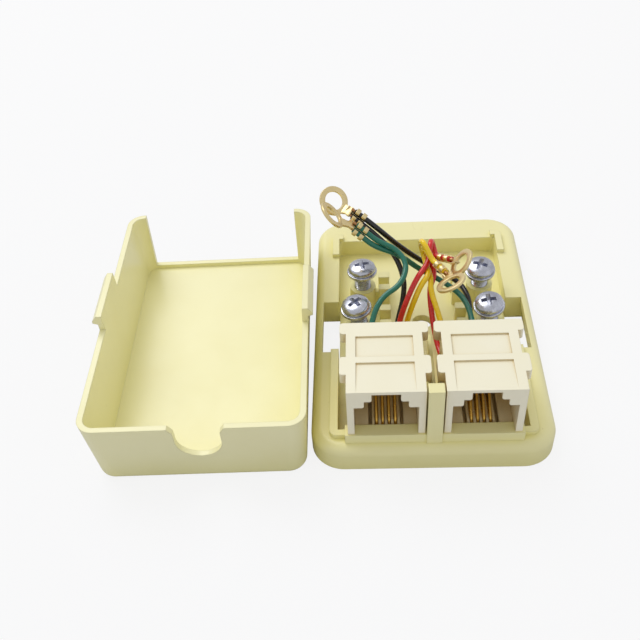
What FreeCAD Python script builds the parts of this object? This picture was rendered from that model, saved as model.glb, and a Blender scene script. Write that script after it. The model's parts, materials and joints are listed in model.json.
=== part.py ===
"""Surface mount jack box for two modular plugs, shown opened: the wired base and, beside it, its cover.

Millimetres, +Z up. The origin is on the mounting surface under the middle of the base, +X runs to the
right-hand jack and -Y is the side the plugs enter. The cover lies open side up on the same surface.
"""
import FreeCAD, Part
import math
import os

Vec = FreeCAD.Vector
X, Y, Z = Vec(1, 0, 0), Vec(0, 1, 0), Vec(0, 0, 1)

# Base moulding
BASE_W, BASE_D = 40.0, 60.0
BASE_CORNER = 5.5
LEDGE_Z = 5.1
EDGE_ROUND = 1.7
FLOOR_Z = 1.5
POCKET_X, POCKET_FRONT, POCKET_BACK = 15.6, -26.2, 23.0
LIP_OUT_X, LIP_T, LIP_Z = 16.9, 1.4, 5.9
SLOT_OUT_X, SLOT_UNDER_X, SLOT_BACK, SLOT_FRONT = 18.45, 19.1, 5.0, -8.0
CATCH_Z = 3.65
SILL_X, SILL_FRONT, SILL_BACK, SILL_Z = 14.3, -28.45, -26.2, 7.0
POST_X, POST_FRONT, POST_Z = 1.25, -28.7, 17.2
BOSS_R, BOSS_Z = 2.4, 6.0
BOSS_PLACES = {"left_rear": (-11.0, 8.5), "left_front": (-11.8, -1.2),
               "right_rear": (11.0, 8.5), "right_front": (11.8, -1.2)}
COMB_X0, COMB_X1, COMB_Z = 5.9, 8.0, 6.0
COMB_YS = (11.4, 8.0, 2.3, -1.7)
COMB_TOOTH = 1.5
MOUNT_HOLE_R, MOUNT_HOLE_Y = 1.8, 2.8

# Jacks
JACK_PITCH = 15.28
JACK_W, JACK_TOP, JACK_FRONT = 12.29, 17.05, -28.19
EAR_W, EAR_T = 14.35, 2.0
BAR_Y0, BAR_Y1 = -15.3, -12.97
EAR_Y0, EAR_Y1 = -24.37, -20.55
PLUG_W, PLUG_TOP = 10.1, 13.5
STEP_W, STEP_TOP = 6.9, 14.9
LATCH_W, LATCH_TOP = 4.5, 16.5
JACK_WALL = (JACK_W - PLUG_W) / 2
CARRIER_FACE, CARRIER_BACK = -18.4, -16.0
TONGUE_FRONT, TONGUE_Z = -25.9, 6.6
CONTACT_PITCH, CONTACT_D = 1.02, 0.45
GROOVE_W, GROOVE_Z = 0.6, 5.0

# Terminal screws, M3
SCREW_R, SCREW_L = 1.5, 6.0
HEAD_R, HEAD_H = 2.55, 1.75
WASHER_R, WASHER_T, WASHER_HOLE_R = 2.8, 0.5, 1.56
PROUD = 3.2
SCREW_TILT = {"left_rear": (-0.02, 0.05), "left_front": (-0.13, -0.05),
              "right_rear": (-0.04, -0.12), "right_front": (-0.11, -0.11)}

# Cover, lying upside down to the left of the base
COVER_W, COVER_D, COVER_H = 36.1, 54.9, 13.4
COVER_DRAFT, COVER_WALL, COVER_CORNER = 0.8, 1.0, 3.0
COVER_AT, COVER_TURN = (-38.5, -4.2), 1.1
RETURN_W, LIP_H = 3.3, 0.8
NOTCH_W, NOTCH_DEPTH, NOTCH_X = 7.4, 7.2, 0.9
CLIP_L, CLIP_H, CLIP_HOOK, CLIP_Y = 11.4, 3.0, 0.9, 1.0

# Wires and the ring terminals crimped on them
WIRE_D = 1.0
RING_R, RING_HOLE_R, RING_T = 2.7, 1.7, 0.5
BARREL_L, BARREL_W, BARREL_T = 3.2, 2.2, 1.3
LAST_RUN = {"green": 2.6, "black": 2.6, "red": 1.3, "yellow": 1.2}
TERMINALS = {  # mouth of the barrel, its direction, side of the first wire, ring centre, ring normal
    "green": ((-10.3, 6.9, 19.4), (-0.77, 0.3, 0.57), (0.6, 0.49, 0.63),
              (-15.95, 7.3, 23.8), (0.71, 0.08, 0.62)),
    "black": ((-10.5, 9.8, 20.2), (-0.78, 0.38, 0.5), (0.6, 0.49, 0.63),
              (-15.8, 12.4, 23.1), (0.39, -0.54, 0.69)),
    "red": ((3.1, 5.7, 14.8), (0.72, -0.55, 0.23), (-0.46, -0.49, 0.53),
            (6.5, 2.2, 16.3), (-0.82, 0.02, 0.63)),
    "yellow": ((2.3, 2.8, 15.6), (0.57, -0.78, -0.14), (-0.38, -0.28, 0.67),
               (4.25, -3.0, 16.3), (-0.46, 0.27, 0.85)),
}
ROUTES = {  # jack side and colour: hand-laid points from the jack's back to the barrel's mouth
    "left_green": [(-9.9, -16.0, 8.2), (-9.9, -10.6, 8.2), (-9.6, -6.4, 11.0), (-7.8, -2.8, 13.2),
                   (-4.2, -1.2, 14.6), (-2.9, 2.6, 16.0), (-4.8, 5.4, 17.3)],
    "left_black": [(-6.6, -16.0, 4.4), (-6.6, -10.3, 4.4), (-6.1, -4.2, 3.6), (-5.2, -2.0, 3.6),
                   (-4.6, 0.4, 4.9), (-3.6, 2.6, 7.6), (-3.3, 4.6, 11.0), (-5.2, 7.6, 14.8)],
    "right_green": [(7.8, -16.0, 8.1), (7.8, -10.2, 8.1), (8.3, -5.0, 9.0), (7.2, 0.4, 9.8),
                    (3.6, 4.2, 10.4), (-0.6, 5.6, 12.2), (-4.2, 5.8, 15.6)],
    "right_black": [(9.4, -16.0, 6.6), (9.4, -10.2, 6.6), (8.9, -5.4, 6.0), (8.58, -2.6, 5.4),
                    (8.58, 0.9, 5.45), (8.5, 3.6, 6.9), (6.9, 7.5, 7.5), (1.0, 8.8, 10.6),
                    (-4.0, 10.0, 14.0)],
    "left_red": [(-5.0, -16.0, 2.9), (-5.0, -10.2, 2.9), (-5.0, -5.4, 3.0), (-4.7, -2.2, 5.6),
                 (-3.5, -1.3, 10.0), (-1.4, 1.7, 13.3), (0.1, 3.2, 14.4), (0.9, 4.5, 14.9),
                 (1.1, 6.1, 15.7), (1.4, 7.3, 16.7), (1.7, 8.9, 16.2), (2.1, 8.5, 14.8)],
    "left_yellow": [(-3.8, -16.0, 2.9), (-3.8, -10.2, 2.9), (-3.7, -4.6, 2.8), (-3.3, -1.6, 5.2),
                    (-2.1, -1.0, 9.6), (-0.6, 1.1, 12.3), (0.9, 2.2, 13.8), (0.6, 5.2, 13.6),
                    (0.2, 6.9, 14.6), (0.1, 7.0, 15.8), (0.2, 6.4, 16.8), (0.6, 5.2, 16.7)],
    "right_red": [(3.2, -16.0, 4.4), (3.2, -10.8, 4.4), (2.4, -6.6, 3.3), (1.6, -3.2, 5.8),
                  (0.9, 1.6, 10.6), (1.9, 3.4, 12.0), (2.0, 5.3, 12.4), (1.6, 6.2, 13.7)],
    "right_yellow": [(4.5, -16.0, 3.0), (4.5, -10.6, 3.0), (3.7, -6.2, 4.2), (2.7, -3.2, 8.0),
                     (1.1, 0.5, 11.6), (1.3, 2.2, 12.9), (0.9, 5.7, 12.6), (0.4, 7.5, 13.2),
                     (-0.1, 8.6, 14.9), (-0.3, 7.9, 16.7), (-0.3, 6.3, 18.2), (0.1, 5.1, 18.6)],
}


def box(x0, x1, y0, y1, z0, z1):
    return Part.makeBox(x1 - x0, y1 - y0, z1 - z0, Vec(x0, y0, z0))


def fuse(shapes):
    return shapes[0].multiFuse(shapes[1:]).removeSplitter()


def mirrored(shape):
    """The same shape on the other side of the middle plane."""
    return shape.mirror(Vec(), X)


def both_sides(shape):
    return [shape, mirrored(shape)]


def edges_where(shape, test):
    return [edge for edge in shape.Edges if test(edge)]


def is_upright(edge):
    first, last = edge.Vertexes[0].Point, edge.Vertexes[-1].Point
    return abs(first.x - last.x) < 1e-6 and abs(first.y - last.y) < 1e-6


def at_height(z):
    return lambda edge: all(abs(v.Z - z) < 1e-6 for v in edge.Vertexes)


def rounded_box(x0, x1, y0, y1, z0, z1, radius):
    block = box(x0, x1, y0, y1, z0, z1)
    return block.makeFillet(radius, edges_where(block, is_upright))


def rounded_outline(half_x, half_y, radius, z):
    """A closed wire: a rectangle with round corners at height z."""
    sides = []
    for turn in range(4):
        across, along = (half_x, half_y) if turn % 2 == 0 else (half_y, half_x)
        centre = Vec(across - radius, along - radius, z)
        start, mid, end = (centre + Vec(radius * math.cos(a), radius * math.sin(a), 0)
                           for a in (0, math.pi / 4, math.pi / 2))
        pieces = [Part.LineSegment(Vec(across, radius - along, z), start).toShape(),
                  Part.Arc(start, mid, end).toShape()]
        for piece in pieces:
            piece.rotate(Vec(), Z, 90 * turn)
        sides += pieces
    return Part.Wire(sides)


def yz_profile(points, x0, x1):
    """A prism along X from an outline in the YZ plane."""
    wire = Part.makePolygon([Vec(x0, y, z) for y, z in points + points[:1]])
    return Part.Face(wire).extrude(Vec(x1 - x0, 0, 0))


def xz_profile(points, y0, y1):
    """A prism along Y from an outline in the XZ plane."""
    wire = Part.makePolygon([Vec(x, y0, z) for x, z in points + points[:1]])
    return Part.Face(wire).extrude(Vec(0, y1 - y0, 0))


def screw_axis(place):
    """Foot of a screw's axis at the top of its boss, and its direction: each went in slightly askew."""
    x, y = BOSS_PLACES[place]
    tilt_x, tilt_y = SCREW_TILT[place]
    return Vec(x, y, BOSS_Z), Vec(tilt_x, tilt_y, 1).normalize()


def base_plate():
    plate = rounded_box(-BASE_W / 2, BASE_W / 2, -BASE_D / 2, BASE_D / 2, 0, LEDGE_Z, BASE_CORNER)
    plate = plate.makeFillet(EDGE_ROUND, edges_where(plate, at_height(LEDGE_Z)))
    plate = plate.makeFillet(0.3, edges_where(plate, at_height(0)))
    pocket = rounded_box(-POCKET_X, POCKET_X, POCKET_FRONT, POCKET_BACK, FLOOR_Z, LEDGE_Z + 1, 0.8)
    return plate.cut(pocket)


def base_lips():
    """Raised edge that locates the cover: round the front corners and the rear corners."""
    side_front = box(LIP_OUT_X - LIP_T, LIP_OUT_X, -27.4, SLOT_FRONT, LEDGE_Z - 1, LIP_Z)
    end_front = box(SILL_X - 0.2, LIP_OUT_X, -27.4, POCKET_FRONT, LEDGE_Z - 1, LIP_Z)
    side_rear = box(POCKET_X, LIP_OUT_X, 18.1, 24.4, LEDGE_Z - 1, LIP_Z)
    end_rear = box(14.8, LIP_OUT_X, POCKET_BACK, 24.4, LEDGE_Z - 1, LIP_Z)
    lips = [fuse([side_front, end_front]), fuse([side_rear, end_rear])]
    rounded = []
    for lip in lips:
        outer = [e for e in edges_where(lip, is_upright)
                 if abs(e.Vertexes[0].X - LIP_OUT_X) < 1e-6 and abs(e.Vertexes[0].Y) > 20]
        rounded.append(lip.makeFillet(1.2, outer))
    return [part for lip in rounded for part in both_sides(lip)]


def clip_slot():
    """Slot for one of the cover's clips, wider below where its hook catches."""
    through = box(POCKET_X - 0.1, SLOT_OUT_X, SLOT_FRONT, SLOT_BACK, -1, LEDGE_Z + 2)
    catch = box(SLOT_OUT_X - 0.1, SLOT_UNDER_X, SLOT_FRONT, SLOT_BACK, -1, CATCH_Z)
    return fuse([through, catch])


def jack_seats():
    """The front sill, the post between the jacks and the thin rib behind it."""
    sill = box(-SILL_X, SILL_X, SILL_FRONT, SILL_BACK, 0.5, SILL_Z)
    post = yz_profile([(POST_FRONT, LEDGE_Z), (POST_FRONT + 0.1, POST_Z), (SILL_BACK - 0.8, POST_Z),
                       (SILL_BACK - 0.2, POST_Z - 0.25), (SILL_BACK, POST_Z - 0.9),
                       (SILL_BACK, LEDGE_Z)], -POST_X, POST_X)
    rib = box(-0.28, 0.28, SILL_BACK - 0.1, -12.0, 1.0, 13.0)
    return [sill, post, rib]


def bosses_and_combs():
    parts = []
    for x, y in BOSS_PLACES.values():
        boss = Part.makeCone(BOSS_R + 0.15, BOSS_R, BOSS_Z - 1.0, Vec(x, y, 1.0))
        parts.append(boss)
    for y in COMB_YS:
        tooth = rounded_box(COMB_X0, COMB_X1, y - COMB_TOOTH / 2, y + COMB_TOOTH / 2, 1.0, COMB_Z, 0.25)
        parts += both_sides(tooth)
    for y0, y1, top in ((COMB_YS[1], COMB_YS[0], 3.6), (COMB_YS[3], COMB_YS[2], 3.6)):
        parts += both_sides(box(COMB_X0 + 0.4, COMB_X1 - 0.4, y0, y1, 1.0, top))
    for boss_x, y in ((11.0, 8.4), (11.8, -1.4)):
        parts += both_sides(box(COMB_X1 - 0.3, boss_x, y - 0.5, y + 0.5, 1.0, 4.8))
    return parts


def screw_hole(place):
    """Hole that the screw has cut, blind, along the screw's own axis."""
    foot, axis = screw_axis(place)
    depth = BOSS_Z - 0.45
    return Part.makeCylinder(SCREW_R + 0.04, depth + 1, foot - axis * depth, axis)


def base():
    body = fuse([base_plate()] + base_lips() + jack_seats() + bosses_and_combs())
    cuts = both_sides(clip_slot())
    cuts += [screw_hole(place) for place in BOSS_PLACES]
    cuts.append(Part.makeCylinder(MOUNT_HOLE_R, 4, Vec(0, MOUNT_HOLE_Y, -1)))
    return body.cut(Part.makeCompound(cuts))


def cover_shell():
    """Thin tray, open side up: a lofted outside less a lofted inside."""
    def tray(inset, z0, z1):
        rim = (COVER_W / 2 - inset, COVER_D / 2 - inset, COVER_CORNER - inset)
        outlines = []
        for z in (z0, z1):
            shrink = COVER_DRAFT * (1 - z / COVER_H)
            outlines.append(rounded_outline(rim[0] - shrink, rim[1] - shrink, rim[2], z))
        return Part.makeLoft(outlines, True, True)
    outside = tray(0, 0, COVER_H)
    outside = outside.makeFillet(1.4, edges_where(outside, at_height(0)))
    return outside.cut(tray(COVER_WALL, COVER_WALL, COVER_H + 1))


def cable_notch():
    """Round-bottomed notch where the cable comes in, flared at the rim."""
    half, bottom = NOTCH_W / 2, COVER_H - NOTCH_DEPTH
    y0, y1 = -COVER_D / 2 - 1, -COVER_D / 2 + 3
    round_end = Part.makeCylinder(half, y1 - y0, Vec(NOTCH_X, y0, bottom + half), Y)
    flare = xz_profile([(NOTCH_X - half, bottom + half), (NOTCH_X + half, bottom + half),
                        (NOTCH_X + half, COVER_H - 1.2), (NOTCH_X + half + 0.8, COVER_H + 0.1),
                        (NOTCH_X - half - 0.8, COVER_H + 0.1), (NOTCH_X - half, COVER_H - 1.2)],
                       y0, y1)
    return fuse([round_end, flare])


def clip():
    """Snap tab on the right-hand wall, with its ramped hook outwards."""
    wall = COVER_W / 2
    outline = [(wall - 1.0, COVER_H - 2.5), (wall - 0.2, COVER_H - 2.5), (wall + 0.05, COVER_H - 0.6),
               (wall + 0.05, COVER_H + 1.2), (wall + CLIP_HOOK, COVER_H + 1.5),
               (wall + CLIP_HOOK, COVER_H + 1.9), (wall + 0.1, COVER_H + CLIP_H),
               (wall - 0.9, COVER_H + CLIP_H), (wall - 1.0, COVER_H)]
    return xz_profile(outline, CLIP_Y - CLIP_L / 2, CLIP_Y + CLIP_L / 2)


def cover():
    far = COVER_D / 2
    open_half = COVER_W / 2 - RETURN_W
    mouth = box(-open_half, open_half, far - 3.2, far + 1, COVER_WALL + LIP_H, COVER_H + 1)
    shell = cover_shell().cut(Part.makeCompound([mouth, cable_notch()]))
    shell = fuse([shell] + both_sides(clip()))
    shell.rotate(Vec(), Z, COVER_TURN)
    shell.translate(Vec(COVER_AT[0], COVER_AT[1], 0))
    return shell


def plug_opening(depth):
    """The stepped mouth of a modular jack, cut from the front."""
    steps = [(PLUG_W / 2, PLUG_TOP), (STEP_W / 2, STEP_TOP), (LATCH_W / 2, LATCH_TOP)]
    right = [(steps[0][0], 0)]
    for (half, top), following in zip(steps, steps[1:] + [None]):
        right.append((half, top))
        if following:
            right += [(following[0] + 0.25, top), (following[0], top + 0.25)]
    left = [(-x, z) for x, z in reversed(right)]
    return xz_profile(right + left, JACK_FRONT - 1, JACK_FRONT + depth)


def jack_housing(centre_x):
    half, ear = JACK_W / 2, EAR_W / 2
    outer = yz_profile([(JACK_FRONT, SILL_Z), (JACK_FRONT, JACK_TOP), (BAR_Y0, JACK_TOP), (BAR_Y0, FLOOR_Z),
                        (SILL_BACK + 0.1, FLOOR_Z), (SILL_BACK + 0.1, SILL_Z)], -half, half)
    bar = rounded_box(-ear, ear, BAR_Y0 - 0.2, BAR_Y1, JACK_TOP - EAR_T, JACK_TOP, 0.6)
    ears = rounded_box(-ear, ear, EAR_Y0, EAR_Y1, JACK_TOP - EAR_T, JACK_TOP, 0.5)
    housing = fuse([outer, bar, ears])
    inside = box(-PLUG_W / 2, PLUG_W / 2, JACK_FRONT + 1.0, BAR_Y0 + 1, 0, LATCH_TOP - 0.3)
    panels = [box(-4.6, 4.6, -20.6, -16.1, JACK_TOP - 0.3, JACK_TOP + 1),
              yz_profile([(-21.9, JACK_TOP - 0.3), (-21.9, JACK_TOP + 1), (JACK_FRONT, JACK_TOP + 1),
                          (JACK_FRONT, JACK_TOP)], -4.6, 4.6)]
    housing = housing.cut(Part.makeCompound([plug_opening(1.5), inside] + panels))
    housing.translate(Vec(centre_x, 0, 0))
    return housing


def contact_carrier(centre_x):
    """Block that closes the jack's back and floor, grooved for the contact springs."""
    half = PLUG_W / 2 - 0.02
    block = yz_profile([(TONGUE_FRONT, FLOOR_Z), (TONGUE_FRONT, TONGUE_Z), (CARRIER_FACE, TONGUE_Z),
                        (CARRIER_FACE, LATCH_TOP - 0.32), (CARRIER_BACK, LATCH_TOP - 0.32),
                        (CARRIER_BACK, FLOOR_Z)], -half, half)
    grooves = []
    for index in range(6):
        x = (index - 2.5) * CONTACT_PITCH
        grooves.append(box(x - GROOVE_W / 2, x + GROOVE_W / 2, TONGUE_FRONT - 1, CARRIER_FACE,
                           GROOVE_Z, TONGUE_Z + 1))
    block = block.cut(Part.makeCompound(grooves))
    block.translate(Vec(centre_x, 0, 0))
    return block


def tube(points, diameter, radius_of):
    """Round bar along straight runs joined by tangent arcs; returns it with its length and radii."""
    edges, radii, start = [], [], points[0]
    for index in range(1, len(points) - 1):
        before, here, after = points[index - 1], points[index], points[index + 1]
        inward, outward = (here - before).normalize(), (after - here).normalize()
        half_turn = inward.getAngle(outward) / 2
        radius = radius_of((here - before).Length, (after - here).Length, half_turn)
        reach = radius * math.tan(half_turn)
        first, last = here - inward * reach, here + outward * reach
        to_centre = (outward - inward).normalize()
        middle = here + to_centre * (radius / math.cos(half_turn) - radius)
        edges += [Part.LineSegment(start, first).toShape(), Part.Arc(first, middle, last).toShape()]
        radii.append(radius)
        start = last
    edges.append(Part.LineSegment(start, points[-1]).toShape())
    path = Part.Wire(edges)
    circle = Part.Circle(points[0], points[1] - points[0], diameter / 2).toShape()
    return path.makePipeShell([Part.Wire([circle])], True, False), path.Length, radii


def contact(centre_x, index):
    """Spring wire: back along its groove, round at the nose and up towards the back."""
    x = centre_x + (index - 1.5) * CONTACT_PITCH
    low = GROOVE_Z + CONTACT_D / 2 + 0.02
    nose = [(CARRIER_FACE, low), (TONGUE_FRONT + 0.9, low), (TONGUE_FRONT + 0.35, low + 0.75),
            (TONGUE_FRONT + 0.9, low + 1.5), (-19.6, 10.2), (-18.9, 10.3)]
    points = [Vec(x, y, z) for y, z in nose]
    bar, _, _ = tube(points, CONTACT_D, lambda a, b, half: min(0.3 * min(a, b) / math.tan(half), 1.0))
    return bar


def turned_to_axis(shape, place, height):
    """Stand a shape made along +Z on a screw's own axis, height above the boss."""
    foot, axis = screw_axis(place)
    shape.Placement = FreeCAD.Placement(foot + axis * height, FreeCAD.Rotation(Z, axis))
    return shape


def terminal_screw(place):
    underside = WASHER_T
    half_outline = [Part.LineSegment(Vec(0, 0, -SCREW_L + WASHER_T), Vec(SCREW_R, 0, -SCREW_L + WASHER_T)),
                    Part.LineSegment(Vec(SCREW_R, 0, -SCREW_L + WASHER_T), Vec(SCREW_R, 0, underside)),
                    Part.LineSegment(Vec(SCREW_R, 0, underside), Vec(HEAD_R, 0, underside)),
                    Part.LineSegment(Vec(HEAD_R, 0, underside), Vec(HEAD_R, 0, underside + 0.6)),
                    Part.Arc(Vec(HEAD_R, 0, underside + 0.6), Vec(HEAD_R * 0.72, 0, underside + 1.42),
                             Vec(0, 0, underside + HEAD_H)),
                    Part.LineSegment(Vec(0, 0, underside + HEAD_H), Vec(0, 0, -SCREW_L + WASHER_T))]
    profile = Part.Face(Part.Wire([segment.toShape() for segment in half_outline]))
    screw = profile.revolve(Vec(), Z, 360)
    top = underside + HEAD_H
    wing = Part.makeLoft([Part.makePolygon([Vec(x * w, y * t, z) for x, y in
                                            ((-1, -1), (1, -1), (1, 1), (-1, 1), (-1, -1))])
                          for w, t, z in ((0.5, 0.2, top - 1.25), (1.55, 0.42, top + 0.1))], True)
    across = wing.copy()
    across.rotate(Vec(), Z, 90)
    return turned_to_axis(screw.cut(fuse([wing, across])), place, PROUD)


def terminal_washer(place):
    ring = Part.makeCylinder(WASHER_R, WASHER_T).cut(Part.makeCylinder(WASHER_HOLE_R, WASHER_T))
    rim = [e for e in ring.Edges if abs(e.Vertexes[0].Point.Length - math.hypot(WASHER_R, WASHER_T)) < 1e-6]
    return turned_to_axis(ring.makeFillet(0.15, rim), place, PROUD)


def barrel_axes(colour):
    """Mouth, direction and side direction of a terminal's barrel, square to each other."""
    mouth, along, side, _, _ = TERMINALS[colour]
    along = Vec(*along).normalize()
    side = Vec(*side)
    side = (side - along * side.dot(along)).normalize()
    return Vec(*mouth), along, side


def ring_terminal(colour):
    """Stamped ring with a tongue bent to the crimped barrel that grips two wires."""
    mouth, along, side = barrel_axes(colour)
    _, _, _, centre, normal = TERMINALS[colour]
    centre, normal = Vec(*centre), Vec(*normal).normalize()
    barrel = box(0, BARREL_L, -BARREL_W / 2, BARREL_W / 2, -BARREL_T / 2, BARREL_T / 2)
    barrel = barrel.makeFillet(0.5, [e for e in barrel.Edges if abs(e.Vertexes[0].X - e.Vertexes[1].X) > 1])
    frame = FreeCAD.Matrix(along.x, side.x, along.cross(side).x, mouth.x,
                           along.y, side.y, along.cross(side).y, mouth.y,
                           along.z, side.z, along.cross(side).z, mouth.z, 0, 0, 0, 1)
    barrel.Placement = FreeCAD.Placement(frame)
    ring = Part.makeCylinder(RING_R, RING_T, centre - normal * RING_T / 2, normal)
    hole = Part.makeCylinder(RING_HOLE_R, RING_T * 3, centre - normal * RING_T * 1.5, normal)
    neck_start = mouth + along * (BARREL_L - 0.3)
    reach = (neck_start - centre) - normal * (neck_start - centre).dot(normal)
    neck_end = centre + reach.normalize() * (RING_R - 0.4)
    run = neck_end - neck_start
    across = run.cross(normal).normalize() * 0.9
    thick = normal * (RING_T / 2)
    sections = [Part.makePolygon([end + across + thick, end - across + thick, end - across - thick,
                                  end + across - thick, end + across + thick])
                for end in (neck_start, neck_end)]
    neck = Part.makeLoft(sections, True)
    return fuse([barrel, ring, neck]).cut(hole)


def wire(name):
    side, colour = name.split("_")
    mouth, along, across = barrel_axes(colour)
    first = "left" if colour == "green" else "right"
    end = mouth + across * (0.55 if side == first else -0.55)
    points = [Vec(*p) for p in ROUTES[name]] + [end - along * LAST_RUN[colour], end]
    bar, length, radii = tube(points, WIRE_D, lambda a, b, half: 0.45 * min(a, b) / math.tan(half))
    swell = bar.Volume / (math.pi * WIRE_D ** 2 / 4 * length)
    print(f"{name}: {length:.1f} mm long, radii {', '.join(f'{r:.1f}' for r in radii)}, volume {swell:.3f}")
    return bar


def parts():
    yield "base", base()
    yield "cover", cover()
    for side, centre_x in (("left", -JACK_PITCH / 2), ("right", JACK_PITCH / 2)):
        yield f"{side}_jack_housing", jack_housing(centre_x)
        yield f"{side}_contact_carrier", contact_carrier(centre_x)
        for index in range(4):
            yield f"{side}_contact_{index + 1}", contact(centre_x, index)
    for place in BOSS_PLACES:
        yield f"{place}_screw", terminal_screw(place)
        yield f"{place}_washer", terminal_washer(place)
    for colour in TERMINALS:
        yield f"{colour}_ring_terminal", ring_terminal(colour)
    for name in ROUTES:
        yield f"{name}_wire", wire(name)


os.makedirs("parts", exist_ok=True)
for node, shape in parts():
    solid = shape if shape.ShapeType == "Solid" else shape.Solids[0]
    if not shape.isValid() or len(shape.Solids) != 1:
        raise ValueError(f"{node}: valid {shape.isValid()}, {len(shape.Solids)} solids")
    solid.exportStep(f"parts/{node}.step")
    print(f"{node}: {solid.Volume:.1f} mm3")
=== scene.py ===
"""Dressing for an opened surface mount jack box: its moulded base with two modular jacks, four terminal
screws, eight short wires crimped in four ring terminals, and its cover lying beside it.

Metres, +Z up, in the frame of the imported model. Sizes and colours that a user would change are properties
of the scene; each group of pieces has an operator of its own, and a panel in the sidebar lists them.
"""
import json
import math

import bmesh
import bpy
from bpy.props import FloatProperty, FloatVectorProperty, IntProperty, PointerProperty
from mathutils import Matrix, Vector


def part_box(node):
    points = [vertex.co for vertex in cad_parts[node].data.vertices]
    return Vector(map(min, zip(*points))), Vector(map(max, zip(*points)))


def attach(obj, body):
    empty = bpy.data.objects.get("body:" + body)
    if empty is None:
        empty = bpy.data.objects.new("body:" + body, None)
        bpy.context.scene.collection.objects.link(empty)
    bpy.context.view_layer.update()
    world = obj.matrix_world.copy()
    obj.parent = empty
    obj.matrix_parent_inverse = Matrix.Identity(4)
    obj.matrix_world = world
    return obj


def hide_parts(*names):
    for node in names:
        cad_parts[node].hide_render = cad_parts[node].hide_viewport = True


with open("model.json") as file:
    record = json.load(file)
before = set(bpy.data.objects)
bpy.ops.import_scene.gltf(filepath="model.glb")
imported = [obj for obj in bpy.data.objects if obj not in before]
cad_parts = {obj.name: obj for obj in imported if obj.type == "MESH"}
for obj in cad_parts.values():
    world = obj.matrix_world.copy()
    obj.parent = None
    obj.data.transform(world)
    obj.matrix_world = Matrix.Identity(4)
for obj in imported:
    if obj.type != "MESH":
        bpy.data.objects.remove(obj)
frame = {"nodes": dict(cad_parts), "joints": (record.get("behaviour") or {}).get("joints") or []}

bl_info = {
    "name": "Surface Mount Jack Box",
    "version": (1, 0, 0),
    "blender": (4, 5, 0),
    "location": "View3D > Sidebar > Jack Box",
    "description": "Dresses an opened two-jack surface mount box with its wires, screws and cover",
    "category": "Object",
}

MM = 0.001
SIDES = ("left", "right")
SCREW_PLACES = ("left_rear", "left_front", "right_rear", "right_front")
WIRE_COLOURS = ("green", "black", "red", "yellow")

# How far each screw was turned when its driver left it, in degrees
RECESS_TURN = {"left_rear": 12, "left_front": 38, "right_rear": 68, "right_front": 4}

# Mouth of each crimped barrel, its direction, its side of the first wire, then its ring's centre and normal,
# in millimetres
TERMINALS = {
    "green": ((-10.3, 6.9, 19.4), (-0.77, 0.3, 0.57), (0.6, 0.49, 0.63),
              (-15.95, 7.3, 23.8), (0.71, 0.08, 0.62)),
    "black": ((-10.5, 9.8, 20.2), (-0.78, 0.38, 0.5), (0.6, 0.49, 0.63),
              (-15.8, 12.4, 23.1), (0.39, -0.54, 0.69)),
    "red": ((3.1, 5.7, 14.8), (0.72, -0.55, 0.23), (-0.46, -0.49, 0.53),
            (6.5, 2.2, 16.3), (-0.82, 0.02, 0.63)),
    "yellow": ((2.3, 2.8, 15.6), (0.57, -0.78, -0.14), (-0.38, -0.28, 0.67),
               (4.25, -3.0, 16.3), (-0.46, 0.27, 0.85)),
}

# Route of each wire from the back of its jack to the mouth of its barrel, in millimetres
ROUTES = {
    "left_green": [(-9.9, -16.0, 8.2), (-9.9, -10.6, 8.2), (-9.6, -6.4, 11.0), (-7.8, -2.8, 13.2),
                   (-4.2, -1.2, 14.6), (-2.9, 2.6, 16.0), (-4.8, 5.4, 17.3)],
    "left_black": [(-6.6, -16.0, 4.4), (-6.6, -10.3, 4.4), (-6.1, -4.2, 3.6), (-5.2, -2.0, 3.6),
                   (-4.6, 0.4, 4.9), (-3.6, 2.6, 7.6), (-3.3, 4.6, 11.0), (-5.2, 7.6, 14.8)],
    "right_green": [(7.8, -16.0, 8.1), (7.8, -10.2, 8.1), (8.3, -5.0, 9.0), (7.2, 0.4, 9.8),
                    (3.6, 4.2, 10.4), (-0.6, 5.6, 12.2), (-4.2, 5.8, 15.6)],
    "right_black": [(9.4, -16.0, 6.6), (9.4, -10.2, 6.6), (8.9, -5.4, 6.0), (8.58, -2.6, 5.4),
                    (8.58, 0.9, 5.45), (8.5, 3.6, 6.9), (6.9, 7.5, 7.5), (1.0, 8.8, 10.6),
                    (-4.0, 10.0, 14.0)],
    "left_red": [(-5.0, -16.0, 2.9), (-5.0, -10.2, 2.9), (-5.0, -5.4, 3.0), (-4.7, -2.2, 5.6),
                 (-3.5, -1.3, 10.0), (-1.4, 1.7, 13.3), (0.1, 3.2, 14.4), (0.9, 4.5, 14.9),
                 (1.1, 6.1, 15.7), (1.4, 7.3, 16.7), (1.7, 8.9, 16.2), (2.1, 8.5, 14.8)],
    "left_yellow": [(-3.8, -16.0, 2.9), (-3.8, -10.2, 2.9), (-3.7, -4.6, 2.8), (-3.3, -1.6, 5.2),
                    (-2.1, -1.0, 9.6), (-0.6, 1.1, 12.3), (0.9, 2.2, 13.8), (0.6, 5.2, 13.6),
                    (0.2, 6.9, 14.6), (0.1, 7.0, 15.8), (0.2, 6.4, 16.8), (0.6, 5.2, 16.7)],
    "right_red": [(3.2, -16.0, 4.4), (3.2, -10.8, 4.4), (2.4, -6.6, 3.3), (1.6, -3.2, 5.8),
                  (0.9, 1.6, 10.6), (1.9, 3.4, 12.0), (2.0, 5.3, 12.4), (1.6, 6.2, 13.7)],
    "right_yellow": [(4.5, -16.0, 3.0), (4.5, -10.6, 3.0), (3.7, -6.2, 4.2), (2.7, -3.2, 8.0),
                     (1.1, 0.5, 11.6), (1.3, 2.2, 12.9), (0.9, 5.7, 12.6), (0.4, 7.5, 13.2),
                     (-0.1, 8.6, 14.9), (-0.3, 7.9, 16.7), (-0.3, 6.3, 18.2), (0.1, 5.1, 18.6)],
}

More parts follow.
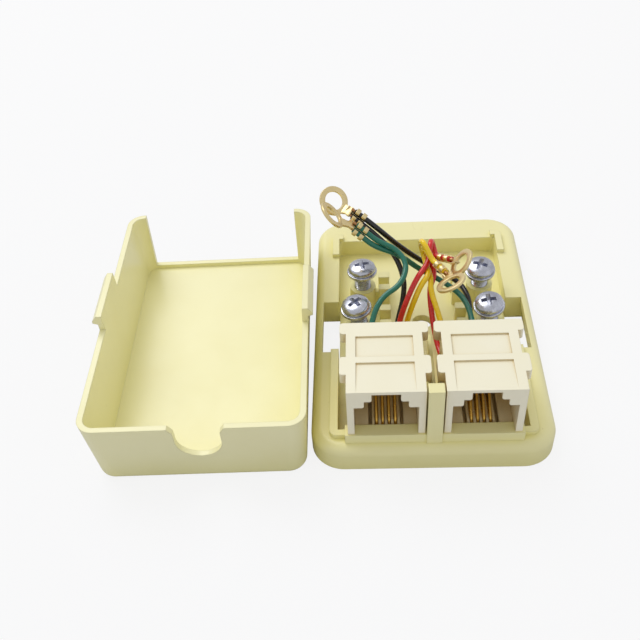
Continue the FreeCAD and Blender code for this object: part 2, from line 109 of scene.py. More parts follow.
# How far before each barrel its wires have the control point that leads them straight in, in millimetres,
# and the jack whose wire lies on the barrel's first side
LAST_RUN = {"green": 2.6, "black": 2.6, "red": 1.3, "yellow": 1.2}
FIRST_WIRE = {"green": "left", "black": "right", "red": "right", "yellow": "right"}

# Crimped terminals, in millimetres. The core's radius is a share of the insulation's diameter; each pair of
# claws has its start and its width along the barrel
WIRE_ASIDE, INSULATION_END = 0.55, 2.35
CORE_SHARE, CORE_LENGTH, CORE_MIDDLE, CORE_EDGE = 0.25, 0.9, 2.65, 0.06
CLAWS = ((0.05, 0.80), (1.40, 0.75))
CLAW_HALF_WIDTH, CLAW_HALF_HEIGHT, CLAW_GAP, CLAW_TIP, CLAW_DIP, CLAW_EDGE = 1.24, 0.66, 0.1, 0.42, 0.22, 0.05
SHEET = 0.24
FLOOR_LENGTH, FLOOR_WIDTH, FLOOR_MIDDLE, FLOOR_LOW = 3.5, 1.5, 1.6, -0.60
FLOOR_NOSE, FLOOR_RISE, FLOOR_EDGE = 0.5, 0.42, 0.06
TONGUE_START, TONGUE_REACH, TONGUE_WIDTH, TONGUE_THICK = 2.7, 2.2, 1.9, 0.48
TONGUE_WAIST, TONGUE_EDGE = 0.80, 0.08
RING_RADIUS, RING_BAND, RING_THICK, RING_EDGE = 2.7, 1.0, 0.5, 0.09

# Screws, in millimetres from the underside of the washer. The dome is a row of steps inward and up; the
# thread's ridge takes up a share of its pitch
WASHER_THICK = 0.5
HEAD_RIM, HEAD_EDGE = 0.62, 0.12
DOME_STEPS = ((0.07, 0.17), (0.14, 0.17), (0.26, 0.18), (0.40, 0.17), (0.58, 0.14), (0.60, 0.06))
RECESS_SPAN, RECESS_WIDTH, RECESS_BLOCK, RECESS_MIDDLE, RECESS_TAPER = 3.6, 1.0, 1.7, 1.75, 0.42
SHANK_TIP, SHANK_LENGTH, TIP_EDGE = -5.5, 6.2, 0.25
THREAD_DEPTH, RIDGE_SUNK, RIDGE_SHARE = 0.31, 0.05, 0.9

# Finishes: roughness of the plastic and the insulation, and in metres the softening of the metal's edges and
# the reach within which surfaces close a recess in, where painted shade darkens the plastic
PLASTIC_ROUGHNESS, INSULATION_ROUGHNESS = 0.30, 0.24
METAL_EDGE, PAINTED_SHADE_REACH = 0.00005, 0.009

# Camera and lamps, in metres, degrees and millimetres of lens
CAMERA_PLACE, CAMERA_TURN = (-0.00981, -0.11174, 0.11360), (44.53, 3.218, 1.146)
CAMERA_LENS, CAMERA_SHIFT = 47.39, (-0.0077, 0.0314)
KEY_PLACE, KEY_SIZE = (-0.25, 0.30, 0.55), 0.45
FILL_PLACE, FILL_SIZE, FILL_SHARE = (0.30, -0.45, 0.40), 0.60, 0.05
TABLE_SIZE, TABLE_DROP, TABLE_GLOW = 4.0, 0.00002, 0.85


# ---------------------------------------------------------------- sizes and colours

def rgb(red, green, blue):
    """A colour given as it looks on screen, from 0 to 1, as the linear values that a shader takes."""
    return tuple(c / 12.92 if c <= 0.04045 else ((c + 0.055) / 1.055) ** 2.4 for c in (red, green, blue))


def colour(label, description, value):
    """A colour property whose default is given as it looks on screen."""
    return FloatVectorProperty(name=label, description=description, subtype="COLOR", size=3, min=0.0,
                               max=1.0, default=rgb(*value))


def length(label, description, value):
    """A length property whose default is given in millimetres."""
    return FloatProperty(name=label, description=description, subtype="DISTANCE", unit="LENGTH",
                         default=value * MM, precision=5)


class MouldingSettings(bpy.types.PropertyGroup):
    """Colours of the moulded pieces."""
    base: colour("Base", "Ivory of the base", (0.945, 0.920, 0.700))
    cover: colour("Cover", "Ivory of the cover", (0.950, 0.932, 0.745))
    jacks: colour("Jacks", "Cream of the jack housings", (0.965, 0.945, 0.850))
    edge: length("Edge rounding", "Radius that softens the mouldings' edges", 0.22)


class MetalSettings(bpy.types.PropertyGroup):
    """Sizes and colours of the screws, terminals and contacts."""
    zinc: colour("Zinc", "Bright plating of the screws", (0.84, 0.85, 0.90))
    brass: colour("Brass", "Pale brass of the ring terminals", (0.95, 0.87, 0.66))
    gold: colour("Gold", "Plating of the contact springs", (0.93, 0.76, 0.38))
    copper: colour("Copper", "Bare cores of the wires", (0.80, 0.60, 0.42))
    shank_radius: length("Shank radius", "Outside radius of the screw's thread", 1.5)
    head_radius: length("Head radius", "Outside radius of the screw's head", 2.55)
    thread_pitch: length("Thread pitch", "Distance between two turns of the thread", 0.5)
    thread_turns: IntProperty(name="Thread turns", description="Turns of thread on the shank", default=11,
                              min=1, max=20)


class WireSettings(bpy.types.PropertyGroup):
    """Size and colours of the wires."""
    diameter: length("Diameter", "Outside diameter of the insulation", 1.0)
    green: colour("Green", "Insulation of the green wires", (0.03, 0.43, 0.35))
    black: colour("Black", "Insulation of the black wires", (0.045, 0.045, 0.05))
    red: colour("Red", "Insulation of the red wires", (0.85, 0.13, 0.13))
    yellow: colour("Yellow", "Insulation of the yellow wires", (0.98, 0.82, 0.07))


class StageSettings(bpy.types.PropertyGroup):
    """The table under the box, and its light."""
    table: colour("Table", "Colour of the pale table", (0.84, 0.84, 0.86))
    key: FloatProperty(name="Key light", description="Power of the big soft lamp", subtype="POWER",
                       unit="POWER", default=2.05, min=0.0)
    sky: FloatProperty(name="Sky", description="Strength of the even light all round", default=0.62, min=0.0)


# ---------------------------------------------------------------- modelling helpers

def point(values):
    """A place given in millimetres, as a vector in metres."""
    return Vector(values) * MM


def object_mode():
    """Leave edit mode, with nothing selected."""
    if bpy.context.mode != "OBJECT":
        bpy.ops.object.mode_set(mode="OBJECT")
    bpy.ops.object.select_all(action="DESELECT")


def named(name):
    """Name the primitive that was just added."""
    piece = bpy.context.active_object
    piece.name = name
    piece.data.name = name
    return piece


def pick(piece, faces=None, verts=None):
    """In edit mode, select the faces, or else the vertices, of a piece that pass the test given for them."""
    bpy.ops.mesh.select_mode(type="FACE" if faces else "VERT")
    bpy.ops.mesh.select_all(action="DESELECT")
    mesh = bmesh.from_edit_mesh(piece.data)
    mesh.normal_update()
    items, test = (mesh.faces, faces) if faces else (mesh.verts, verts)
    for item in items:
        if test(item):
            item.select_set(True)
    mesh.select_flush_mode()
    bmesh.update_edit_mesh(piece.data)


def modified(piece, kind, **settings):
    """Add a modifier to a piece and apply it."""
    object_mode()
    piece.select_set(True)
    bpy.context.view_layer.objects.active = piece
    modifier = piece.modifiers.new(kind.title(), kind)
    for key, value in settings.items():
        setattr(modifier, key, value)
    bpy.ops.object.modifier_apply(modifier=modifier.name)


def joined(pieces, name):
    """Join pieces into the first and rename it."""
    object_mode()
    for piece in pieces:
        piece.select_set(True)
    bpy.context.view_layer.objects.active = pieces[0]
    if len(pieces) > 1:
        bpy.ops.object.join()
    return named(name)


def softened(piece, width):
    """Bevel the edges of a piece where its faces meet at more than 50 degrees. Width in millimetres."""
    modified(piece, "BEVEL", width=width * MM, segments=2, limit_method="ANGLE", angle_limit=math.radians(50))


def tidied(piece, angle):
    """Merge doubles, point faces outwards and smooth all edges but those sharper than an angle in degrees."""
    object_mode()
    piece.select_set(True)
    bpy.context.view_layer.objects.active = piece
    bpy.ops.object.mode_set(mode="EDIT")
    bpy.ops.mesh.select_all(action="SELECT")
    bpy.ops.mesh.remove_doubles(threshold=1e-6)
    bpy.ops.mesh.normals_make_consistent(inside=False)
    bpy.ops.object.mode_set(mode="OBJECT")
    bpy.ops.object.shade_smooth_by_angle(angle=math.radians(angle))


def set_in_place(piece, placement):
    """Put a piece where a matrix says and leave its object at the origin."""
    object_mode()
    piece.select_set(True)
    bpy.context.view_layer.objects.active = piece
    piece.matrix_world = placement
    bpy.ops.object.transform_apply(location=True, rotation=True, scale=True)


def removed(piece):
    """Delete a helper piece that has served its purpose."""
    object_mode()
    piece.select_set(True)
    bpy.ops.object.delete()


def frame_of(origin, along, side):
    """Matrix whose X runs along, whose Y runs to the side and whose Z is square to both."""
    x = along.normalized()
    y = (side - x * side.dot(x)).normalized()
    turn = Matrix((x, y, x.cross(y))).transposed().to_4x4()
    return Matrix.Translation(origin) @ turn


def dress(piece, finish, body):
    """Give a new piece its material and the body that it rides on."""
    piece.data.materials.clear()
    piece.data.materials.append(finish)
    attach(piece, body)


def dress_node(node, finish):
    """Give a carried-over node a better material."""
    for slot in frame["nodes"][node].material_slots:
        slot.material = finish


# ---------------------------------------------------------------- shader helpers

class Value:
    """A number in a shader, to be used in Python expressions. Each operation adds its Math node."""

    def __init__(self, paint, socket):
        self.paint = paint
        self.socket = socket

    def result(self, operation, first, second):
        return Value(self.paint, self.paint.node("ShaderNodeMath", {"operation": operation},
                                                 {0: first, 1: second}).outputs[0])

    def __add__(self, other):
        return self.result("ADD", self, other)

    def __radd__(self, other):
        return self.result("ADD", other, self)

    def __mul__(self, other):
        return self.result("MULTIPLY", self, other)


class Paint:
    """One material under construction."""

    def __init__(self, name, **constants):
        self.material = bpy.data.materials.new(name)
        self.material.use_nodes = True
        self.tree = self.material.node_tree
        self.shader = self.tree.nodes["Principled BSDF"]
        for key, value in constants.items():
            self.shader.inputs[key.replace("_", " ")].default_value = value
        self.place = self.node("ShaderNodeTexCoord").outputs["Object"]

    def node(self, kind, settings=None, sockets=None):
        """Add a node with its settings, and give each of its sockets a link or a constant."""
        made = self.tree.nodes.new(kind)
        for key, value in (settings or {}).items():
            setattr(made, key, value)
        for key, value in (sockets or {}).items():
            if isinstance(value, Value):
                value = value.socket
            if isinstance(value, bpy.types.NodeSocket):
                self.tree.links.new(value, made.inputs[key])
            else:
                made.inputs[key].default_value = value
        return made

    def noise(self, scale, detail, roughness, distortion=0.0, place=None):
        """Cloudy pattern, finer as its scale grows."""
        made = self.node("ShaderNodeTexNoise", None,
                         {"Vector": place or self.place, "Scale": scale, "Detail": detail,
                          "Roughness": roughness, "Distortion": distortion})
        return Value(self, made.outputs["Fac"])

    def ramp(self, value, *stops):
        """Grey ramp between two stops, each the value that it starts from and the grey that it gives."""
        made = self.node("ShaderNodeValToRGB", None, {"Fac": value})
        for element, (position, grey) in zip(made.color_ramp.elements, stops):
            element.position = position
            element.color = (grey, grey, grey, 1.0)
        return Value(self, made.outputs["Color"])

    def stretched(self, x, y, z):
        """Object coordinates scaled for a streaky pattern."""
        made = self.node("ShaderNodeMapping", None, {"Vector": self.place, "Scale": (x, y, z)})
        return made.outputs["Vector"]

    def mix(self, mask, first, second):
        """The first colour where the mask is 0, the second where it is 1."""
        made = self.node("ShaderNodeMix", {"data_type": "RGBA"}, {0: mask, 6: first, 7: second})
        return made.outputs[2]

    def rounding(self, radius):
        """Normal that reads as a softened edge."""
        return self.node("ShaderNodeBevel", {"samples": 6}, {"Radius": radius}).outputs["Normal"]

    def recess_shade_mask(self, reach):
        """How closely other surfaces stand round a point: 0 in the open, 1 in a deep recess. Masks the
        painted shade.
        """
        made = self.node("ShaderNodeAmbientOcclusion", {"samples": 6}, {"Distance": reach})
        return self.ramp(Value(self, made.outputs["AO"]), (0.30, 1.0), (0.92, 0.0))

    def bump(self, height, distance, strength, normal=None):
        """Normal tilted by a height pattern."""
        sockets = {"Height": height, "Distance": distance, "Strength": strength}
        if normal:
            sockets["Normal"] = normal
        return self.node("ShaderNodeBump", None, sockets).outputs["Normal"]

    def feed(self, **links):
        """Link values or sockets to the shader's inputs."""
        for key, value in links.items():
            if isinstance(value, Value):
                value = value.socket
            self.tree.links.new(value, self.shader.inputs[key.replace("_", " ")])


def shade(colour_value, factor, tint=(1.0, 1.0, 1.0)):
    """A lighter, darker or tinted version of a colour, as RGBA."""
    return tuple(min(1.0, c * factor * t) for c, t in zip(colour_value, tint)) + (1.0,)


def moulded_plastic(name, main, edge, soil, recess=(1.0, 0.98, 0.60), depth=0.6):
    """Glossy moulded plastic: uneven colour, painted shade deeper in its recesses, handling marks and a fine
    skin.
    """
    paint = Paint(name, IOR=1.49, Coat_Weight=0.12, Coat_Roughness=0.18)
    clouds = paint.ramp(paint.noise(scale=95, detail=3, roughness=0.55), (0.34, 0.0), (0.68, 1.0))
    flow = paint.ramp(paint.noise(scale=42, detail=2, roughness=0.5, distortion=0.6),
                      (0.40, 0.0), (0.66, 1.0))
    body = paint.mix(clouds, shade(main, 1.0), shade(main, 0.975, (1.0, 0.99, 0.94)))
    body = paint.mix(flow * 0.5, body, shade(main, 1.02, (1.0, 1.0, 1.02)))
    specks = paint.ramp(paint.noise(scale=900, detail=1, roughness=0.4), (0.785, 0.0), (0.80, 1.0))
    body = paint.mix(specks * (0.25 * soil), body, shade(main, 0.62, (1.0, 0.88, 0.70)))
    streaks = paint.noise(scale=300, detail=4, roughness=0.7, distortion=1.2,
                          place=paint.stretched(1.0, 0.35, 1.0))
    scuffs = paint.ramp(streaks, (0.66, 0.0), (0.74, 1.0))
    body = paint.mix(scuffs * (0.22 * soil), body, shade(main, 0.84, (1.0, 0.95, 0.86)))
    # Painted shade: a darker copy of the colour, tinted by recess, laid into the recesses as strongly as
    # depth says
    body = paint.mix(paint.recess_shade_mask(PAINTED_SHADE_REACH) * depth, body, shade(main, 0.96, recess))
    skin = paint.noise(scale=1400, detail=2, roughness=0.5)
    swell = paint.noise(scale=130, detail=1, roughness=0.4)
    rough = PLASTIC_ROUGHNESS + clouds * 0.05 + scuffs * 0.16 + skin * 0.05
    normal = paint.bump(skin * 0.35 + swell, distance=0.00004, strength=0.35, normal=paint.rounding(edge))
    paint.feed(Base_Color=body, Roughness=rough, Normal=normal)
    return paint.material


def plated_metal(name, main, roughness, dark):
    """Plated metal: bright, with dull patches, fine rub marks and a darker bloom."""
    paint = Paint(name, Metallic=1.0, IOR=1.5)
    bloom = paint.ramp(paint.noise(scale=480, detail=4, roughness=0.6, distortion=0.5),
                       (0.36, 0.0), (0.66, 1.0))
    rubs = paint.noise(scale=1600, detail=3, roughness=0.6, place=paint.stretched(1.0, 0.22, 1.0))
    pits = paint.ramp(paint.noise(scale=2600, detail=1, roughness=0.4), (0.69, 0.0), (0.75, 1.0))
    body = paint.mix(bloom, shade(main, 1.0), shade(main, dark))
    body = paint.mix(pits * 0.5, body, shade(main, dark * 0.6))
    normal = paint.bump(rubs + pits * -0.8, distance=0.00002, strength=0.5, normal=paint.rounding(METAL_EDGE))
    paint.feed(Base_Color=body, Roughness=roughness + bloom * 0.12 + rubs * 0.10, Normal=normal)
    return paint.material


def insulation(name, main):
    """Glossy extruded insulation with faint unevenness and dust."""
    paint = Paint(name, IOR=1.52, Coat_Weight=0.35, Coat_Roughness=0.12)
    cloud = paint.noise(scale=260, detail=3, roughness=0.5)
    dust = paint.ramp(paint.noise(scale=1900, detail=2, roughness=0.6), (0.62, 0.0), (0.76, 1.0))
    body = paint.mix(cloud, shade(main, 0.90), shade(main, 1.08))
    body = paint.mix(dust * 0.04, body, (0.55, 0.52, 0.46, 1.0))
    ripple = paint.noise(scale=700, detail=2, roughness=0.5)
    paint.feed(Base_Color=body, Roughness=INSULATION_ROUGHNESS + dust * 0.18 + cloud * 0.06,
               Normal=paint.bump(ripple, distance=0.00003, strength=0.4))
    return paint.material


# ---------------------------------------------------------------- pieces

def barrel_frame(name):
    """Placement of a crimped barrel: X into the barrel, Y to its side, Z to the back of the crimp."""
    mouth, along, side, _, _ = TERMINALS[name]
    return frame_of(point(mouth), Vector(along), Vector(side))


def wire_points(name):
    """Control points of a wire's spline, the last of them inside the barrel that grips it."""
    side, tint = name.split("_")
    placement = barrel_frame(tint)
    aside = WIRE_ASIDE if side == FIRST_WIRE[tint] else -WIRE_ASIDE
    end = [placement @ point((x, aside, 0)) for x in (-LAST_RUN[tint], 0.0, INSULATION_END)]
    return [point(p) for p in ROUTES[name]] + end


def wire_curve(name, diameter):
    """Wire as a spline with its own thickness and closed ends."""
    points = wire_points(name)
    object_mode()
    data = bpy.data.curves.new(name + "_insulation", "CURVE")
    data.dimensions = "3D"
    spline = data.splines.new("NURBS")
    spline.points.add(len(points) - 1)
    for slot, place in zip(spline.points, points):
        slot.co = (*place, 1.0)
    spline.order_u = 3
    spline.use_endpoint_u = True
    spline.resolution_u = 14
    data.bevel_depth = diameter / 2
    data.bevel_resolution = 5
    data.use_fill_caps = True
    wire = bpy.data.objects.new(name + "_insulation", data)
    bpy.context.scene.collection.objects.link(wire)
    return wire


def line_length(wire):
    """Length of a wire's own line, before its thickness."""
    data = wire.data.copy()
    data.bevel_depth = 0.0
    probe = bpy.data.objects.new("probe", data)
    mesh = bpy.data.meshes.new_from_object(probe)
    places = [v.co.copy() for v in mesh.vertices]
    total = sum((b - a).length for a, b in zip(places, places[1:]))
    bpy.data.objects.remove(probe)
    bpy.data.meshes.remove(mesh)
    bpy.data.curves.remove(data)
    return total


def rounded_head(radius, recess_turn):
    """Pan head with a cross recess, its underside a washer's thickness over the origin."""
    bpy.ops.mesh.primitive_cylinder_add(vertices=48, radius=radius, depth=HEAD_RIM * MM,
                                        location=(0, 0, (WASHER_THICK + HEAD_RIM / 2) * MM))
    head = named("screw_head")
    bpy.ops.object.transform_apply(location=True)
    bpy.ops.object.mode_set(mode="EDIT")
    pick(head, faces=lambda f: f.normal.z > 0.9)
    for inward, upward in DOME_STEPS:
        bpy.ops.mesh.inset(thickness=inward * MM, depth=upward * MM)
    pick(head, faces=lambda f: f.normal.z < -0.9)
    bpy.ops.mesh.bevel(offset=HEAD_EDGE * MM, segments=2, affect="EDGES")
    object_mode()
    for quarter in (0, 1):
        bpy.ops.mesh.primitive_cube_add(size=1, location=(0, 0, RECESS_MIDDLE * MM))
        wing = named("recess_wing")
        wing.scale = (RECESS_SPAN * MM, RECESS_WIDTH * MM, RECESS_BLOCK * MM)
        wing.rotation_euler.z = math.radians(recess_turn + 90 * quarter)
        bpy.ops.object.transform_apply(location=True, rotation=True, scale=True)
        bpy.ops.object.mode_set(mode="EDIT")
        pick(wing, faces=lambda f: f.normal.z < -0.9)
        bpy.ops.transform.resize(value=(RECESS_TAPER, RECESS_TAPER, 1.0), center_override=(0, 0, 0))
        modified(head, "BOOLEAN", operation="DIFFERENCE", object=wing, solver="EXACT")
        removed(wing)
    return head


def threaded_shank(radius, pitch, turns):
    """Core of the screw with one helical ridge wound round it."""
    root = radius - THREAD_DEPTH * MM
    bottom = SHANK_TIP * MM
    bpy.ops.mesh.primitive_cylinder_add(vertices=40, radius=root, depth=SHANK_LENGTH * MM,
                                        location=(0, 0, (SHANK_TIP + SHANK_LENGTH / 2) * MM))
    core = named("screw_core")
    bpy.ops.object.mode_set(mode="EDIT")
    pick(core, faces=lambda f: f.normal.z < -0.9)
    bpy.ops.mesh.bevel(offset=TIP_EDGE * MM, segments=2, affect="EDGES")
    object_mode()
    bpy.ops.mesh.primitive_circle_add(vertices=3, radius=1 * MM, fill_type="NOTHING")
    ridge = named("screw_ridge")
    sunk = root - RIDGE_SUNK * MM
    outline = [(sunk, bottom), (sunk, bottom + RIDGE_SHARE * pitch),
               (radius, bottom + RIDGE_SHARE / 2 * pitch)]
    for vertex, (x, z) in zip(ridge.data.vertices, outline):
        vertex.co = (x, 0, z)
    modified(ridge, "SCREW", angle=math.tau, screw_offset=pitch, iterations=turns, steps=32,
             render_steps=32, use_merge_vertices=False)
    bpy.ops.object.mode_set(mode="EDIT")
    bpy.ops.mesh.select_mode(type="EDGE")
    bpy.ops.mesh.select_all(action="DESELECT")
    bpy.ops.mesh.select_non_manifold()
    bpy.ops.mesh.edge_face_add()
    object_mode()
    return core, ridge


def screw(place, metal, settings):
    """Terminal screw on its own leaning axis, its head resting on the washer."""
    head = rounded_head(settings.head_radius, RECESS_TURN[place])
    core, ridge = threaded_shank(settings.shank_radius, settings.thread_pitch, settings.thread_turns)
    piece = joined([head, core, ridge], place + "_pan_head_screw")
    tidied(piece, 32)
    hinge = next(j for j in frame["joints"] if j["name"] == place + "_turn")
    axis = Vector(hinge["axis"]).normalized()
    foot = Vector(hinge["pos_m"])
    low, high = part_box(place + "_washer")
    rise = ((low + high) / 2 - foot).dot(axis) - WASHER_THICK / 2 * MM
    turn = Vector((0, 0, 1)).rotation_difference(axis).to_matrix().to_4x4()
    set_in_place(piece, Matrix.Translation(foot + axis * rise) @ turn)
    dress(piece, metal, place + "_screw")
    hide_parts(place + "_screw")


def stamped_ring(name):
    """Flat ring with a punched hole and softened rims."""
    centre, normal = TERMINALS[name][3:]
    object_mode()
    bpy.ops.mesh.primitive_cylinder_add(vertices=56, radius=RING_RADIUS * MM, depth=RING_THICK * MM)
    ring = named("ring")
    bpy.ops.object.mode_set(mode="EDIT")
    pick(ring, faces=lambda f: abs(f.normal.z) > 0.9)
    bpy.ops.mesh.inset(thickness=RING_BAND * MM)
    bpy.ops.mesh.bridge_edge_loops()
    object_mode()
    softened(ring, RING_EDGE)
    turn = Vector((0, 0, 1)).rotation_difference(Vector(normal).normalized()).to_matrix().to_4x4()
    set_in_place(ring, Matrix.Translation(point(centre)) @ turn)
    return ring


def tongue(name):
    """Strip from the barrel's floor to the ring, waisted in the middle."""
    centre, normal = TERMINALS[name][3:]
    placement = barrel_frame(name)
    normal = Vector(normal).normalized()
    start = placement @ point((TONGUE_START, 0, 0))
    reach = start - point(centre)
    reach -= normal * reach.dot(normal)
    end = point(centre) + reach.normalized() * (TONGUE_REACH * MM)
    run = end - start
    object_mode()
    bpy.ops.mesh.primitive_cube_add(size=1)
    strip = named("tongue")
    strip.scale = (run.length, TONGUE_WIDTH * MM, TONGUE_THICK * MM)
    bpy.ops.object.transform_apply(location=False, rotation=False, scale=True)
    bpy.ops.object.mode_set(mode="EDIT")
    bpy.ops.mesh.select_all(action="SELECT")
    bpy.ops.mesh.subdivide(number_cuts=3)
    pick(strip, verts=lambda v: abs(v.co.x) < 0.05 * run.length)
    bpy.ops.transform.resize(value=(1.0, TONGUE_WAIST, 1.0), center_override=(0, 0, 0))
    object_mode()
    softened(strip, TONGUE_EDGE)
    set_in_place(strip, frame_of((start + end) / 2, run, run.cross(normal)))
    return strip


def crimp_claw(start, width):
    """Band bent up from the floor on both sides, its tips turned in between the two wires."""
    object_mode()
    bpy.ops.mesh.primitive_circle_add(vertices=28, radius=1, fill_type="NOTHING",
                                      rotation=(0, math.pi / 2, 0))
    claw = named("claw")
    bpy.ops.object.transform_apply(location=False, rotation=True, scale=False)
    claw.scale = (1, CLAW_HALF_WIDTH * MM, CLAW_HALF_HEIGHT * MM)
    bpy.ops.object.transform_apply(location=False, rotation=False, scale=True)
    bpy.ops.object.mode_set(mode="EDIT")
    pick(claw, verts=lambda v: v.co.z > 0 and abs(v.co.y) < CLAW_GAP * MM)
    bpy.ops.mesh.delete(type="VERT")
    pick(claw, verts=lambda v: v.co.z > 0 and abs(v.co.y) < CLAW_TIP * MM)
    bpy.ops.transform.translate(value=(0, 0, -CLAW_DIP * MM))
    bpy.ops.mesh.select_all(action="SELECT")
    bpy.ops.mesh.extrude_region_move(TRANSFORM_OT_translate={"value": (width * MM, 0, 0)})
    bpy.ops.mesh.select_all(action="SELECT")
    bpy.ops.transform.translate(value=(start * MM, 0, 0))
    bpy.ops.mesh.normals_make_consistent(inside=False)
    object_mode()
    modified(claw, "SOLIDIFY", thickness=SHEET * MM, offset=0.0)
    softened(claw, CLAW_EDGE)
    return claw


def crimp_floor():
    """Floor strip that the claws rise from."""
    object_mode()
    bpy.ops.mesh.primitive_cube_add(size=1)
    floor = named("crimp_floor")
    floor.scale = (FLOOR_LENGTH * MM, FLOOR_WIDTH * MM, SHEET * MM)
    floor.location = (FLOOR_MIDDLE * MM, 0, FLOOR_LOW * MM)
    bpy.ops.object.transform_apply(location=True, rotation=False, scale=True)
    bpy.ops.object.mode_set(mode="EDIT")
    pick(floor, faces=lambda f: f.normal.x > 0.9)
    bpy.ops.mesh.extrude_region_move(TRANSFORM_OT_translate={"value": (FLOOR_NOSE * MM, 0, FLOOR_RISE * MM)})
    object_mode()
    softened(floor, FLOOR_EDGE)
    return floor


def ring_terminal(name, metal):
    """Stamped terminal: ring, tongue, and a barrel with two pairs of claws round both wires."""
    barrel = joined([crimp_floor()] + [crimp_claw(start, width) for start, width in CLAWS], "barrel")
    seam_down = Matrix.Rotation(math.pi, 4, "X")
    set_in_place(barrel, barrel_frame(name) @ seam_down)
    piece = joined([stamped_ring(name), tongue(name), barrel], name + "_stamped_terminal")
    tidied(piece, 40)
    dress(piece, metal, "base")
    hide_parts(name + "_ring_terminal")
    return piece


def bare_cores(name, diameter, metal):
    """Ends of the two copper cores that show past the insulation inside the barrel."""
    placement = barrel_frame(name)
    ends = []
    for aside in (-WIRE_ASIDE, WIRE_ASIDE):
        object_mode()
        bpy.ops.mesh.primitive_cylinder_add(vertices=20, radius=diameter * CORE_SHARE, depth=CORE_LENGTH * MM,
                                            location=(CORE_MIDDLE * MM, aside * MM, 0),
                                            rotation=(0, math.pi / 2, 0))
        end = named("core")
        bpy.ops.object.transform_apply(location=True, rotation=True, scale=True)
        bpy.ops.object.mode_set(mode="EDIT")
        pick(end, faces=lambda f: abs(f.normal.x) > 0.9)
        bpy.ops.mesh.bevel(offset=CORE_EDGE * MM, segments=2, affect="EDGES")
        ends.append(end)
    piece = joined(ends, name + "_bare_cores")
    set_in_place(piece, placement)
    tidied(piece, 40)
    dress(piece, metal, "base")
    return piece


# ---------------------------------------------------------------- operators

class JACKBOX_OT_camera(bpy.types.Operator):
    """Stand the camera in front of the box and above it"""
    bl_idname = "jackbox.camera"
    bl_label = "Camera"

    def execute(self, context):
        data = bpy.data.cameras.new("camera")
        data.lens = CAMERA_LENS
        data.shift_x, data.shift_y = CAMERA_SHIFT
        data.clip_start, data.clip_end = 0.005, 10.0
        camera = bpy.data.objects.new("camera", data)
        camera.location = CAMERA_PLACE
        camera.rotation_euler = [math.radians(angle) for angle in CAMERA_TURN]
        context.scene.collection.objects.link(camera)
        context.scene.camera = camera
        return {"FINISHED"}


class JACKBOX_OT_wires(bpy.types.Operator):
    """Lay the eight wires and the four ring terminals that they are crimped in"""
    bl_idname = "jackbox.wires"
    bl_label = "Wires and terminals"

    def execute(self, context):
        wires, metals = context.scene.jackbox_wires, context.scene.jackbox_metals
        brass = plated_metal("pale_brass", metals.brass, 0.28, 0.92)
        copper = plated_metal("bare_copper", metals.copper, 0.34, 0.70)
        for tint in WIRE_COLOURS:
            finish = insulation(tint + "_insulation", getattr(wires, tint))
            terminal = ring_terminal(tint, brass)
            cores = bare_cores(tint, wires.diameter, copper)
            for side in SIDES:
                name = f"{side}_{tint}"
                wire = wire_curve(name, wires.diameter)
                dress(wire, finish, "base")
                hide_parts(name + "_wire")
                line_length(wire)
        return {"FINISHED"}


class JACKBOX_OT_screws(bpy.types.Operator):
    """Make the four terminal screws and finish their washers"""
    bl_idname = "jackbox.screws"
    bl_label = "Screws"

    def execute(self, context):
        settings = context.scene.jackbox_metals
        zinc = plated_metal("bright_zinc", settings.zinc, 0.16, 0.66)
        for place in SCREW_PLACES:
            screw(place, zinc, settings)
            dress_node(place + "_washer", zinc)
        return {"FINISHED"}


class JACKBOX_OT_mouldings(bpy.types.Operator):
    """Finish the base, the cover, the jacks and their contact springs"""
    bl_idname = "jackbox.mouldings"
    bl_label = "Mouldings and contacts"

    def execute(self, context):
        settings, metals = context.scene.jackbox_mouldings, context.scene.jackbox_metals
        dress_node("base", moulded_plastic("base_plastic", settings.base, settings.edge, 1.0))
        dress_node("cover", moulded_plastic("cover_plastic", settings.cover, settings.edge, 0.35))
        # The jacks' recess tint and depth paint a dark brown shade inside their openings
        jacks = moulded_plastic("jack_plastic", settings.jacks, settings.edge * 0.7, 0.25,
                                recess=(0.78, 0.62, 0.36), depth=0.9)
        gold = plated_metal("contact_gold", metals.gold, 0.20, 0.85)
        for side in SIDES:
            dress_node(side + "_jack_housing", jacks)
            dress_node(side + "_contact_carrier", jacks)
            for index in range(1, 5):
                dress_node(f"{side}_contact_{index}", gold)
        return {"FINISHED"}


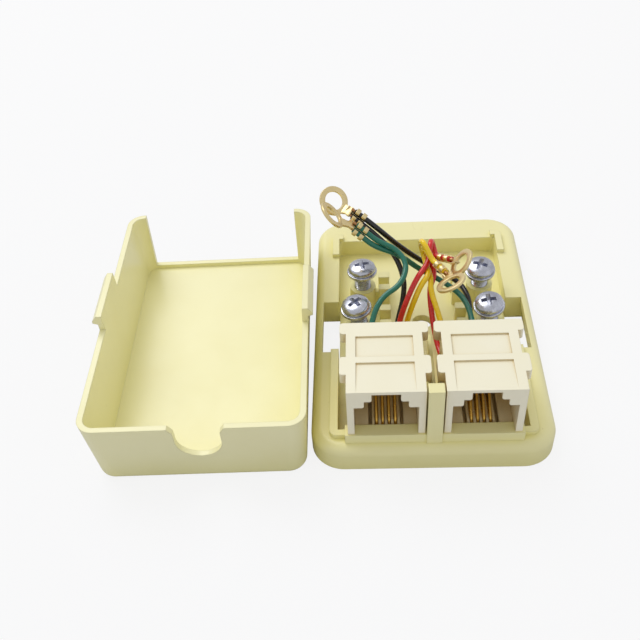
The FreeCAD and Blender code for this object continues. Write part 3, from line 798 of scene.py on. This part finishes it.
class JACKBOX_OT_stage(bpy.types.Operator):
    """Add the pale table, the soft lamps and the even light"""
    bl_idname = "jackbox.stage"
    bl_label = "Stage"

    def execute(self, context):
        settings = context.scene.jackbox_stage
        object_mode()
        bpy.ops.mesh.primitive_plane_add(size=TABLE_SIZE, location=(0, 0, -TABLE_DROP))
        table = named("table")
        table.data.materials.append(self.bright_matt(settings.table))
        self.lamp(context, "key", KEY_PLACE, KEY_SIZE, settings.key)
        self.lamp(context, "fill", FILL_PLACE, FILL_SIZE, settings.key * FILL_SHARE)
        world = bpy.data.worlds.new("even_light")
        world.use_nodes = True
        background = world.node_tree.nodes["Background"]
        background.inputs["Color"].default_value = (1.0, 1.0, 1.0, 1.0)
        background.inputs["Strength"].default_value = settings.sky
        context.scene.world = world
        context.scene.view_settings.view_transform = "Standard"
        return {"FINISHED"}

    @staticmethod
    def bright_matt(tint):
        """Matt pale surface that the camera sees nearly white, with its shadows."""
        paint = Paint("pale_table", Roughness=0.9, Specular_IOR_Level=0.1)
        paint.shader.inputs["Base Color"].default_value = (*tint, 1.0)
        seen = paint.node("ShaderNodeLightPath").outputs["Is Camera Ray"]
        glow = paint.node("ShaderNodeEmission", None, {"Color": (1.0, 1.0, 1.0, 1.0), "Strength": 1.0})
        blend = paint.node("ShaderNodeMixShader", None, {0: Value(paint, seen) * TABLE_GLOW})
        paint.tree.links.new(paint.shader.outputs[0], blend.inputs[1])
        paint.tree.links.new(glow.outputs[0], blend.inputs[2])
        output = paint.tree.nodes["Material Output"]
        paint.tree.links.new(blend.outputs[0], output.inputs["Surface"])
        return paint.material

    @staticmethod
    def lamp(context, name, place, size, power):
        """Square soft lamp that faces the box."""
        data = bpy.data.lights.new(name, "AREA")
        data.energy = power
        data.shape = "SQUARE"
        data.size = size
        lamp = bpy.data.objects.new(name, data)
        lamp.location = place
        lamp.rotation_euler = (-Vector(place)).to_track_quat("-Z", "Y").to_euler()
        context.scene.collection.objects.link(lamp)


class JACKBOX_PT_panel(bpy.types.Panel):
    """Sizes, colours and steps of the jack box"""
    bl_label = "Jack Box"
    bl_space_type = "VIEW_3D"
    bl_region_type = "UI"
    bl_category = "Jack Box"

    def draw(self, context):
        scene = context.scene
        for title, settings in (("Mouldings", scene.jackbox_mouldings), ("Metals", scene.jackbox_metals),
                                ("Wires", scene.jackbox_wires), ("Stage", scene.jackbox_stage)):
            box = self.layout.box()
            box.label(text=title)
            for key in settings.__annotations__:
                box.prop(settings, key)
        for step in STEPS:
            self.layout.operator(step.bl_idname)


SETTINGS = {"jackbox_mouldings": MouldingSettings, "jackbox_metals": MetalSettings,
            "jackbox_wires": WireSettings, "jackbox_stage": StageSettings}
STEPS = (JACKBOX_OT_camera, JACKBOX_OT_wires, JACKBOX_OT_screws, JACKBOX_OT_mouldings, JACKBOX_OT_stage)


def register():
    for cls in (*SETTINGS.values(), *STEPS, JACKBOX_PT_panel):
        bpy.utils.register_class(cls)
    for name, cls in SETTINGS.items():
        setattr(bpy.types.Scene, name, PointerProperty(type=cls))


def unregister():
    for name in SETTINGS:
        delattr(bpy.types.Scene, name)
    for cls in reversed((*SETTINGS.values(), *STEPS, JACKBOX_PT_panel)):
        bpy.utils.unregister_class(cls)


def main():
    """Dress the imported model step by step."""
    register()
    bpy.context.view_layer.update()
    bpy.ops.jackbox.camera()
    bpy.ops.jackbox.wires()
    bpy.ops.jackbox.screws()
    bpy.ops.jackbox.mouldings()
    bpy.ops.jackbox.stage()
    object_mode()
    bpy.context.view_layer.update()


if __name__ == "__main__":
    main()
